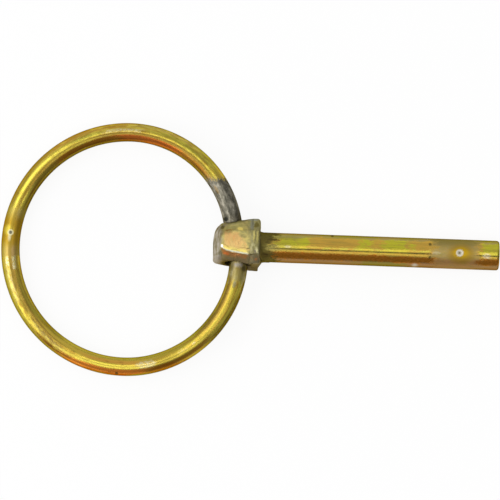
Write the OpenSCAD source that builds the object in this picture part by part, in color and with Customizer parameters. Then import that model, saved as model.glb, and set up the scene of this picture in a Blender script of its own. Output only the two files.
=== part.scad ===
// Lynch pin: a forged pin with a collared head, and a sprung wire ring that swings over and
// closes on the shank. The pin lies as it comes to rest: on its collar, its tip and the ring's far side.
// X runs along the shank to the tip, Y across it through the sockets, Z is up.

/* [Shank] */
// Diameter of the shank
shank_d = 6.35; // [5:0.05:8]
// Length of shank that stands out past the closed ring
tip_over = 8.35; // [4:0.05:20]
// Radius that breaks the tip's edge
tip_edge_r = 0.4; // [0.1:0.05:1]
// Radius of the fillet where the shank meets the collar
root_r = 0.5; // [0.3:0.05:0.6]

/* [Collar] */
// Distance from the hinge axis to the collar's seating face
face_reach = 5; // [4.4:0.05:8]
// Thickness of the collar along the shank
collar_len = 2; // [1:0.05:3]
// How far the collar stands proud of the head, front and back
collar_proud = 0.4; // [0.1:0.05:1]
// Size of the bevels round the collar's two faces
collar_bevel = 0.45; // [0.2:0.05:0.7]
// How far the collar's lower corner is cut back, from its side and from its seating face
collar_relief = 0.65; // [0:0.05:1]

/* [Head] */
// Width of the head at the collar, from socket side to socket side
head_w = 11.1; // [9.5:0.1:15]
// Width of the head at its free end
head_end_w = 8.15; // [7.5:0.05:12]
// Thickness of the head at the collar, front to back
head_t = 9.6; // [9:0.1:14]
// Thickness of the head at its free end
head_end_t = 8.3; // [7.8:0.1:12]
// Distance from the hinge axis to the head's free end
end_reach = 5; // [4.2:0.05:8]
// How far the forging sits off the shank's axis
head_shift = 0.45; // [0:0.05:1]

/* [Bevels] */
// Width of the bevel along the head's upper front edge
upper_bevel_w = 2.2; // [1:0.05:3]
// Drop of that bevel, front to back
upper_bevel_t = 1.8; // [0.8:0.05:2.4]
// Width of the bevel along the head's lower front edge
lower_bevel_w = 1.9; // [1:0.05:2.5]
// Drop of that bevel, front to back
lower_bevel_t = 1.3; // [0.6:0.05:2]
// How far the lower side leans out from its front edge to its back edge
lower_draft = 1.6; // [0.2:0.05:2.2]
// Size of the bevels along the back edges
back_bevel = 1.1; // [0.5:0.05:1.8]
// Length of the bevel between the front flat and the free end
end_bevel_l = 1.5; // [0.6:0.05:2]
// Drop of that bevel, front to back
end_bevel_t = 1.7; // [0.6:0.05:2]
// Radius of the free end's upper corner
upper_corner_r = 2.8; // [1:0.05:3]
// Radius of the free end's lower corner
lower_corner_r = 1.1; // [0.4:0.05:1.8]
// Radius of the forged edges
edge_r = 0.45; // [0.2:0.05:0.7]

/* [Ring] */
// Diameter of the ring's wire
wire_d = 3.97; // [3:0.01:4.6]
// Radius of the ring's far half, to the middle of the wire
ring_r = 25.06; // [20:0.01:35]
// How much nearer to the hinge than its own radius the ring's centre lies
ring_draw = 1.74; // [0.5:0.01:4]
// How far the ring hangs to the lower side of the shank's axis
ring_lean = 1.55; // [0:0.01:3]

/* [Hinge] */
// Lean of the line through the two sockets, from square across the shank
hinge_skew = 5; // [0:0.1:8]
// Distance of the wire behind the hinge's middle where it enters the upper side of the head
upper_offset = 0.99; // [0.4:0.01:1.2]
// Distance of the wire ahead of the hinge's middle where it enters the lower side of the head
lower_offset = 0.61; // [0.2:0.01:0.9]
// Running clearance between the swinging wire ends and their sockets
socket_gap = 0.1; // [0.05:0.01:0.3]
// Thickness of the web left between the two sockets
web = 3.6; // [2:0.1:4.5]
// Gap between each wire end and the bottom of its socket
end_gap = 0.3; // [0.1:0.05:1]
// Widening of each socket at its mouth
mouth_flare = 0.4; // [0.2:0.05:0.8]

/* [Hidden] */
curve_fn = 96;
wire_fn = 48;
ball_fn = 20;
arc_steps = 8;
// How far the root fillet starts inside the collar, and the least spread of the upper corner's balls
root_sink = 0.3;
corner_spread = 0.2;

// The shank and the collar
shank_r = shank_d / 2;
wire_r = wire_d / 2;
collar_u = face_reach - collar_len;
collar_t = head_t / 2 + collar_proud;

// The head's half width and half thickness at u along the pin
function head_share(u) = (u + end_reach) / (collar_u + end_reach);
function half_w(u) = (head_end_w + (head_w - head_end_w) * head_share(u)) / 2;
function half_t(u) = (head_end_t + (head_t - head_end_t) * head_share(u)) / 2;
upper_side = head_shift + half_w(0);
lower_side = head_shift - half_w(0);

// The ring is three arcs: the far half, and two arms that leave it smoothly and run through the
// points where the wire enters the head. An arm's radius falls short of the far half's by its step.
ring_c = [ring_draw - ring_r, -ring_lean];
function arm_step(from_c, side) =
    (from_c * from_c - ring_r * ring_r) / (2 * (side * from_c.y - ring_r));
upper_step = arm_step([-upper_offset, upper_side] - ring_c, 1);
lower_step = arm_step([lower_offset, lower_side] - ring_c, -1);
upper_r = ring_r - upper_step;
lower_r = ring_r - lower_step;
upper_c = ring_c + [0, upper_step];
lower_c = ring_c - [0, lower_step];

// Each arm ends just short of the bottom of its socket
function arm_angle(v, centre, radius) = asin((v - centre.y) / radius);
upper_bottom = head_shift + web / 2;
lower_bottom = head_shift - web / 2;
upper_stop_a = arm_angle(upper_bottom + end_gap, upper_c, upper_r);
lower_stop_a = arm_angle(lower_bottom - end_gap, lower_c, lower_r);

// The hinge axis leans back at the upper side. The sockets lie along it, and clear the widest
// circles that the wire ends sweep about it.
axis = [-sin(hinge_skew), cos(hinge_skew)];
square = [cos(hinge_skew), sin(hinge_skew)];
upper_lean = arm_angle(upper_side, upper_c, upper_r) - hinge_skew;
upper_sweep = -[-upper_offset, upper_side] * square + wire_r / cos(upper_lean);
lower_end = lower_c + lower_r * [cos(lower_stop_a), sin(lower_stop_a)];
lower_sweep = lower_end * square + wire_r / cos(lower_stop_a - hinge_skew);
socket_r = max(upper_sweep, lower_sweep) + socket_gap;
mouth_in = 0.3;
mouth_out = 1;

// The closed ring is its own mirror image across the hinge axis, and lands on the shank past its
// middle. The tip stands out past that place.
closed_c = 2 * (ring_c * axis) * axis - ring_c;
landing_reach = closed_c.x + sqrt(pow(ring_r, 2) - pow(closed_c.y, 2));
landing = sqrt(pow(landing_reach, 2) - pow(shank_r + wire_r, 2));
tip_u = landing + tip_over;

// The pin lies on the back edge of its collar and the edge of its tip
contact_u = (tip_u - tip_edge_r) - (face_reach - collar_bevel);
contact_w = collar_t - (shank_r - tip_edge_r);
pin_tilt = atan2(contact_w, contact_u) - asin(tip_edge_r / norm([contact_u, contact_w]));
hinge_z = (tip_u - tip_edge_r) * sin(pin_tilt) + (shank_r - tip_edge_r) * cos(pin_tilt) + tip_edge_r;

// The ring hangs from the hinge until its far side meets what the pin lies on
far_reach = ring_r - ring_c * square;
ring_tilt = asin((hinge_z - wire_r) / far_reach);
ring_drop = pin_tilt + ring_tilt;

// The origin is under the middle of the whole object
tip_x = (tip_u - tip_edge_r) * cos(pin_tilt) + (shank_r - tip_edge_r) * sin(pin_tilt) + tip_edge_r;
far_x = (ring_c.x - ring_r) * cos(ring_tilt) - wire_r;
top_y = upper_c.y + upper_r + wire_r;
low_y = lower_c.y - lower_r - wire_r;
hinge = [-(tip_x + far_x) / 2, -(top_y + low_y) / 2, hinge_z];

// A forged corner, as a ball that touches the two sides and the flat it belongs to
module ball(u, v, w, r) {
    translate([u, v, w]) sphere(r, $fn = ball_fn);
}

// One cross-section of the forging, through the middles of its rounded edges: two bevels behind and
// two in front. Its corner on the lower side comes last.
function section(half_width, half_thick) =
    let (upper = head_shift + half_width - edge_r,
        lower = head_shift - half_width + edge_r,
        front = half_thick - edge_r)
    [[lower + back_bevel, -front], [upper - back_bevel, -front], [upper, -front + back_bevel],
        [upper, front - upper_bevel_t], [upper - upper_bevel_w, front],
        [lower + lower_draft + lower_bevel_w, front], [lower + lower_draft, front - lower_bevel_t],
        [lower, -front + back_bevel]];

module head_block() {
    flat_u = end_bevel_l - end_reach + edge_r;
    flat_w = half_w(flat_u);
    flat_t = half_t(flat_u) - edge_r;
    upper_u = upper_corner_r - end_reach;
    lower_u = lower_corner_r - end_reach;
    upper_v = head_shift + half_w(upper_u) - upper_corner_r;
    lower_v = head_shift - half_w(lower_u) + lower_corner_r;
    upper_w = max(corner_spread, half_t(-end_reach) - end_bevel_t / 2 - upper_corner_r);
    lower_w = half_t(-end_reach) - end_bevel_t - lower_corner_r;
    hull() {
        for (p = section(half_w(collar_u), half_t(collar_u)))
            ball(collar_u + edge_r, p.x, p.y, edge_r);
        ball(flat_u, head_shift + flat_w - upper_bevel_w - edge_r, flat_t, edge_r);
        ball(flat_u, head_shift - flat_w + lower_draft + lower_bevel_w + edge_r, flat_t, edge_r);
        ball(flat_u, head_shift + flat_w - back_bevel - edge_r, -flat_t, edge_r);
        ball(flat_u, head_shift - flat_w + back_bevel + edge_r, -flat_t, edge_r);
        for (side = [-1, 1])
            ball(upper_u, upper_v, side * upper_w, upper_corner_r);
        ball(lower_u, lower_v + lower_draft / 2, lower_w, lower_corner_r);
        ball(lower_u, lower_v, -lower_w, lower_corner_r);
    }
}

// A plate of the collar from one place along the pin to another, with its outline drawn in by inset
module plate(from_u, to_u, points, inset) {
    translate([from_u, 0, 0]) rotate([90, 0, 90])
        linear_extrude(to_u - from_u)
            offset(delta = edge_r - inset) polygon(points);
}

// The collar has bevelled faces, and its lower corner is cut back where it meets the seating face
module collar() {
    whole = section(head_w / 2, collar_t);
    last = len(whole) - 1;
    relieved = [for (i = [0 : last]) i < last ? whole[i] : whole[i] + [collar_relief, 0]];
    hull() {
        plate(collar_u, face_reach - collar_bevel - collar_relief, whole, collar_bevel);
        plate(collar_u + collar_bevel, face_reach - collar_bevel - collar_relief, whole, 0);
        plate(collar_u + collar_bevel, face_reach - collar_bevel, relieved, 0);
        plate(collar_u + collar_bevel, face_reach, relieved, collar_bevel);
    }
}

// Half section of the shank, from inside the collar to the tip, with a filleted root and a broken edge
module shank() {
    root_u = face_reach - root_sink;
    root = [for (i = [0 : arc_steps])
        let (a = 90 * i / arc_steps)
        [shank_r + root_r * (1 - sin(a)), root_u + root_r * (1 - cos(a))]];
    tip = [for (i = [0 : arc_steps])
        let (a = 90 * i / arc_steps)
        [shank_r - tip_edge_r * (1 - cos(a)), tip_u - tip_edge_r * (1 - sin(a))]];
    rotate([0, 90, 0])
        rotate_extrude($fn = curve_fn)
            polygon(concat([[0, collar_u], [shank_r + root_r, collar_u]], root, tip, [[0, tip_u]]));
}

// One blind socket, drilled along the hinge axis from a side of the head to its bottom, with a
// flared mouth
module socket(side, bottom) {
    mouth = abs(side) - mouth_in;
    flared = mouth_in + mouth_out;
    rotate([0, 0, hinge_skew]) rotate([side > 0 ? -90 : 90, 0, 0]) {
        translate([0, 0, abs(bottom)])
            cylinder(h = mouth + flared - abs(bottom), r = socket_r, $fn = curve_fn);
        translate([0, 0, mouth])
            cylinder(h = flared, r1 = socket_r, r2 = socket_r + mouth_flare, $fn = curve_fn);
    }
}

module pin() {
    color("goldenrod")
        translate(hinge) rotate([0, pin_tilt, 0])
            difference() {
                union() {
                    head_block();
                    collar();
                    shank();
                }
                socket(upper_side, upper_bottom);
                socket(lower_side, lower_bottom);
            }
}

// Wire bent round a centre that lies one radius below its start, anticlockwise through an angle
module arc(radius, angle) {
    translate([0, -radius, 0]) rotate([0, 0, 90])
        rotate_extrude(angle = angle, $fn = 2 * curve_fn)
            translate([radius, 0]) circle(r = wire_r, $fn = wire_fn);
}

module ring() {
    color("gold")
        translate(hinge) rotate([0, pin_tilt, 0]) rotate(a = -ring_drop, v = [axis.x, axis.y, 0])
            translate([ring_c.x, ring_c.y + ring_r, 0]) {
                arc(ring_r, 180);
                mirror([1, 0, 0]) arc(upper_r, 90 - upper_stop_a);
                translate([0, -2 * ring_r, 0]) rotate([0, 0, 180]) arc(lower_r, 90 + lower_stop_a);
            }
}

pin();
ring();
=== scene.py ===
import math
import bmesh
import bpy
import numpy as np
from mathutils import Matrix, Vector, noise


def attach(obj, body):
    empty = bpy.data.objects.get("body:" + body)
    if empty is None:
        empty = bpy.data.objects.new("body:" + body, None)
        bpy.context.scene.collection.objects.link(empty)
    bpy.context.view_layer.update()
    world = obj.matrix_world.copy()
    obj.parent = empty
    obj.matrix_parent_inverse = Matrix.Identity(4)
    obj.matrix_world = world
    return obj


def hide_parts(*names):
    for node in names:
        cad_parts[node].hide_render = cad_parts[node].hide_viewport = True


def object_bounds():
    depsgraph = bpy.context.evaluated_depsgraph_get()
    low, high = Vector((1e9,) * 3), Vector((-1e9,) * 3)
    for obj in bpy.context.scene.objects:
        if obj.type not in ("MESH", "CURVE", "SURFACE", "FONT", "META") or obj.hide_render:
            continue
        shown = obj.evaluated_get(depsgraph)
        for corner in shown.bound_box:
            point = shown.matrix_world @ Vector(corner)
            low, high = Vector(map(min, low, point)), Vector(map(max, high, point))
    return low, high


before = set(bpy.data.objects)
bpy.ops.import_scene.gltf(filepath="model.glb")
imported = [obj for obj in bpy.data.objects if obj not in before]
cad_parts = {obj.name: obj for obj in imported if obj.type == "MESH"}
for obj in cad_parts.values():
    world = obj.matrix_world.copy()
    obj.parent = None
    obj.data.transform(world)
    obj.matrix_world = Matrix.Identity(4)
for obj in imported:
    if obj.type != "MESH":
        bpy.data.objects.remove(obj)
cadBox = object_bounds()
scene = bpy.context.scene

# Both pieces are built in millimetres in the pin's own frame: u along the shank from the hinge
# to the tip, v across it and w up. These are the same numbers as in the solids.
place = {
    "hinge": (-3.03004, 1.55, 5.37542),
    "pinTilt": 2.26058,
    "ringDrop": 6.27525,
    "hingeSkew": 5,
    "scale": 0.001,
}


def pinMatrix():
    tilt = Matrix.Rotation(math.radians(place["pinTilt"]), 4, "Y")
    return Matrix.Scale(place["scale"], 4) @ Matrix.Translation(place["hinge"]) @ tilt


def ringMatrix():
    skew = math.radians(place["hingeSkew"])
    axis = Vector((-math.sin(skew), math.cos(skew), 0))
    return pinMatrix() @ Matrix.Rotation(math.radians(-place["ringDrop"]), 4, axis)


def ramp(x, start, run):  # 0 up to start and 1 from run past it, the other way for a run below 0
    return np.clip((x - start) / run, 0, 1)


def uneven(points, rows):  # adds up smooth noises: height, size of lumps, seed, stretch along u
    total = 0
    for height, size, seed, along in rows:
        shift = Vector((seed, seed * 1.7, seed * 2.3))
        stretched = points * np.array([along, 1, 1])
        lumps = [noise.noise(Vector(p) / size + shift) for p in stretched]
        total = total + height * np.array(lumps)
    return total


def dint(away, depth, rim, crest):  # a round dint's height, by how many radii off it is
    return rim * np.exp(-((away - crest) / 0.3) ** 2) - depth * np.clip(1 - away ** 2, 0, None) ** 2


def dented(points, centre, radius, depth, rim=0):  # how far a dint at (u, v) moves the upper side
    away = np.hypot(points[:, 0] - centre[0], points[:, 1] - centre[1]) / radius
    return np.where(points[:, 2] > 0, dint(away, depth, rim, 1.15), 0)


def readPoints(mesh, what="co"):
    flat = np.empty(len(mesh.vertices) * 3)
    mesh.vertices.foreach_get(what, flat)
    return flat.reshape(-1, 3)


def writePoints(mesh, points):
    mesh.vertices.foreach_set("co", points.reshape(-1))
    mesh.update()


def pushPoints(mesh, lift):  # moves every point out along its normal
    writePoints(mesh, readPoints(mesh) + readPoints(mesh, "normal") * lift[:, None])


def vectorLayer(mesh, name, values):  # a value for the materials at every vertex
    layer = mesh.attributes.new(name, "FLOAT_VECTOR", "POINT")
    layer.data.foreach_set("vector", np.asarray(values, dtype=np.float32).reshape(-1))


def newObject(name, data):
    made = bpy.data.objects.new(name, data)
    scene.collection.objects.link(made)
    return made


def applied(obj, *modifiers):  # the object's mesh with these modifiers on it
    for kind, settings in modifiers:
        added = obj.modifiers.new(kind, kind)
        for key, value in settings.items():
            setattr(added, key, value)
    graph = bpy.context.evaluated_depsgraph_get()
    mesh = bpy.data.meshes.new_from_object(obj.evaluated_get(graph))
    bpy.data.objects.remove(obj)
    return mesh


def lathe(profile, sides):  # a closed solid turned about the u axis
    points = [(profile[0][0], 0, 0)]
    for u, radius in profile[1:-1]:
        for k in range(sides):
            a = 2 * math.pi * k / sides
            points.append((u, radius * math.cos(a), radius * math.sin(a)))
    points.append((profile[-1][0], 0, 0))
    last = len(points) - 1
    rows = len(profile) - 2
    faces = []
    for k in range(sides):
        n = (k + 1) % sides
        faces.append((0, 1 + n, 1 + k))
        faces.append((last, 1 + (rows - 1) * sides + k, 1 + (rows - 1) * sides + n))
        for row in range(rows - 1):
            a, b = 1 + row * sides, 1 + (row + 1) * sides
            faces.append((a + k, a + n, b + n, b + k))
    mesh = bpy.data.meshes.new("lathe")
    mesh.from_pydata(points, [], faces)
    mesh.update()
    return mesh


def tone(*levels):  # a colour from its 8-bit levels
    parts = [x / 255 for x in levels]
    return tuple(x / 12.92 if x < 0.04045 else ((x + 0.055) / 1.055) ** 2.4 for x in parts)


class Term:  # a shader socket that takes part in arithmetic
    def __init__(self, paint, socket):
        self.paint = paint
        self.socket = socket

    def math(self, kind, *values):
        return self.paint.node("Math", {"operation": kind}, dict(enumerate((self, *values))))

    def __add__(self, other):
        return self.math("ADD", other)

    def __mul__(self, other):
        return self.math("MULTIPLY", other)

    def __sub__(self, other):
        return self.math("SUBTRACT", other)

    def __truediv__(self, other):
        return self.math("DIVIDE", other)

    def __rsub__(self, other):
        return self.paint.node("Math", {"operation": "SUBTRACT"}, {0: other, 1: self})

    def __rtruediv__(self, other):
        return self.paint.node("Math", {"operation": "DIVIDE"}, {0: other, 1: self})

    __radd__ = __add__
    __rmul__ = __mul__

    def power(self):  # e to the power of this value
        return self.math("EXPONENT")

    def upTo(self, other):  # the larger of the two
        return self.math("MAXIMUM", other)

    def apart(self, other):  # how far a point lies, given how far it lies each way
        return (self * self + other * other).math("SQRT")

    def rise(self, low, high, least=0, most=1):  # least below low, most above high, smooth between
        values = dict(enumerate((self, low, high, least, most)))
        return self.paint.node("MapRange", {"interpolation_type": "SMOOTHSTEP"}, values)

    def fall(self, low, high):  # 1 below low, 0 above high
        return 1 - self.rise(low, high)

    def band(self, low, high, soft):  # 1 between low and high, fading within soft of each
        return self.rise(low - soft, low + soft) * self.fall(high - soft, high + soft)

    def shake(self, *moves):  # moved to and fro by noises, each with its reach
        moved = self
        for grain, reach in moves:
            moved = moved + (grain - 0.5) * reach
        return moved


class Paint:  # the nodes of a material or the world; a colour may be given by name
    def __init__(self, owner, colors):
        owner.use_nodes = True
        self.owner = owner
        self.tree = owner.node_tree
        self.colors = {name: tone(*levels) for name, levels in colors.items()}

    def feed(self, socket, value):
        if isinstance(value, str):
            value = self.colors[value]
        if isinstance(value, Term):
            self.tree.links.new(value.socket, socket)
        elif isinstance(value, tuple) and socket.type == "RGBA":
            socket.default_value = (*value, 1)
        else:
            socket.default_value = value

    def node(self, kind, settings, values, out=0):
        made = self.tree.nodes.new("ShaderNode" + kind)
        for key, value in settings.items():
            setattr(made, key, value)
        for key, value in values.items():
            self.feed(made.inputs[key], value)
        return Term(self, made.outputs[out])

    def finish(self, name, values):  # fills sockets of a node that is there from the start
        for key, value in values.items():
            self.feed(self.tree.nodes[name].inputs[key], value)

    def outputs(self, term, *keys):  # other outputs of the node that a term comes from
        return [Term(self, term.socket.node.outputs[key]) for key in keys]

    def layer(self, name):
        return self.node("Attribute", {"attribute_name": name}, {}, "Vector")

    def split(self, vector):
        return self.outputs(self.node("SeparateXYZ", {}, {0: vector}), 0, 1, 2)

    def grain(self, vector, scale, detail, rough, by=(1, 1, 1), shift=(0, 0, 0), warp=0):
        drawn = self.node("VectorMath", {"operation": "MULTIPLY_ADD"}, {0: vector, 1: by, 2: shift})
        values = {"Vector": drawn, "Scale": scale, "Detail": detail}
        return self.node("TexNoise", {}, {**values, "Roughness": rough, "Distortion": warp})

    def mix(self, factor, under, over):
        return self.node("Mix", {"data_type": "RGBA"}, {0: factor, 6: under, 7: over}, 2)

    def coats(self, color, *rows):  # lays colours over one, each by its mask and strength
        for mask, over, strength in rows:
            color = self.mix(mask * strength, color, over)
        return color

    def spot(self, along, across, centre, radius, soft):  # 1 inside a round place, 0 outside
        return (along - centre[0]).apart(across - centre[1]).fall(radius - soft, radius + soft)

    def daub(self, along, across, centre, half, lean=0):  # 1 inside a leaning oval, 0 outside
        c, s = math.cos(math.radians(lean)), math.sin(math.radians(lean))
        a = ((along - centre[0]) * c + (across - centre[1]) * s) / half[0]
        b = ((across - centre[1]) * c - (along - centre[0]) * s) / half[1]
        return a.apart(b).fall(0.55, 1.3)

    def metal(self, spec, color, rough, height):  # the finish that both pieces have
        bump = {"Strength": spec["bump"], "Distance": spec["bumpDepth"], "Height": height}
        normal = self.node("Bump", {}, bump)
        values = {"Base Color": color, "Metallic": 1, "Roughness": rough}
        self.finish("Principled BSDF", {**values, "Specular Tint": spec["rim"], "Normal": normal})
        return self.owner


camera = {
    "middle": (-0.00004, 0.00086, 0.005),
    "turn": 2.057,
    "away": 1.5,
    "width": 0.1068,
    "sensor": 36,
    "clip": (0.1, 20),
}
studio = {
    "white": (1, 1, 1),
    "floorColor": (0.95, 0.95, 0.95),
    "floorRough": 0.9,
    "floorGlow": 0.9,
    "floorReach": 3,
    "worldBright": 0.85,
    "worldDim": 0.32,
    "worldToward": (-0.5, 0.85, 0),
    "worldFade": (-0.8, 0.9),
    "lampHeight": 0.9,
    "lamps": {  # from x, to x, from y, to y, level
        "upperLamp": (-0.44, 0.4, 0.05, 0.27, 1.3),
        "lowerLamp": (-0.44, 0.34, -0.46, -0.19, 1.2),
        "leftLamp": (-1.2, -0.46, -0.85, 0.62, 1.4),
        "lowLeftLamp": (-2.1, -1.2, -1.35, -0.05, 1.7),
        "rightLamp": (0.48, 0.72, -0.2, 0.26, 0.6),
    },
}


def makeCamera(spec):
    lens = bpy.data.cameras.new("camera")
    lens.sensor_width = spec["sensor"]
    lens.lens = spec["sensor"] * spec["away"] / spec["width"]
    lens.clip_start, lens.clip_end = spec["clip"]
    made = newObject("camera", lens)
    x, y, z = spec["middle"]
    made.location = (x, y, z + spec["away"])
    made.rotation_euler = (0, 0, math.radians(spec["turn"]))
    scene.camera = made


def makeLamp(name, height, fromX, toX, fromY, toY, level):  # a soft panel that faces down
    lamp = bpy.data.lights.new(name, "AREA")
    lamp.shape = "RECTANGLE"
    lamp.size, lamp.size_y = toX - fromX, toY - fromY
    lamp.energy = level * 4 * lamp.size * lamp.size_y
    made = newObject(name, lamp)
    made.location = ((fromX + toX) / 2, (fromY + toY) / 2, height)
    made.visible_camera = False


def makeFloor(spec):
    far, low = spec["floorReach"], cadBox[0].z
    points = [(far * x, far * y, low) for x, y in ((-1, -1), (1, -1), (1, 1), (-1, 1))]
    mesh = bpy.data.meshes.new("floor")
    mesh.from_pydata(points, [], [(0, 1, 2, 3)])
    floor = newObject("floor", mesh)
    paint = Paint(bpy.data.materials.new("floorPaint"), {})
    matt = {"Base Color": spec["floorColor"], "Roughness": spec["floorRough"]}
    paint.finish("Principled BSDF", matt)
    rays = ("Is Camera Ray", "Is Glossy Ray", "Is Transmission Ray")
    seen, glossy, through = paint.outputs(paint.node("LightPath", {}, {}), *rays)
    share = seen.upTo(glossy).upTo(through) * spec["floorGlow"]
    glow = paint.node("Emission", {}, {"Color": spec["white"], "Strength": 1})
    plain = Term(paint, paint.tree.nodes["Principled BSDF"].outputs[0])
    both = paint.node("MixShader", {}, {0: share, 1: plain, 2: glow})
    paint.finish("Material Output", {"Surface": both})
    mesh.materials.append(paint.owner)


def makeWorld(spec):  # dim on one side, so that round metal is darker there
    scene.world = bpy.data.worlds.new("studio")
    paint = Paint(scene.world, {})
    heading = paint.node("TexCoord", {}, {}, "Generated")
    side = Vector(spec["worldToward"]).normalized()
    toward = paint.node("VectorMath", {"operation": "DOT_PRODUCT"}, {0: heading, 1: side}, "Value")
    level = toward.rise(*spec["worldFade"], spec["worldDim"], spec["worldBright"])
    paint.finish("Background", {"Color": spec["white"], "Strength": level})


makeCamera(camera)
for name, row in studio["lamps"].items():
    makeLamp(name, studio["lampHeight"], *row)
makeFloor(studio)
makeWorld(studio)
scene.view_settings.view_transform = "Standard"
print("stage made")

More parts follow.
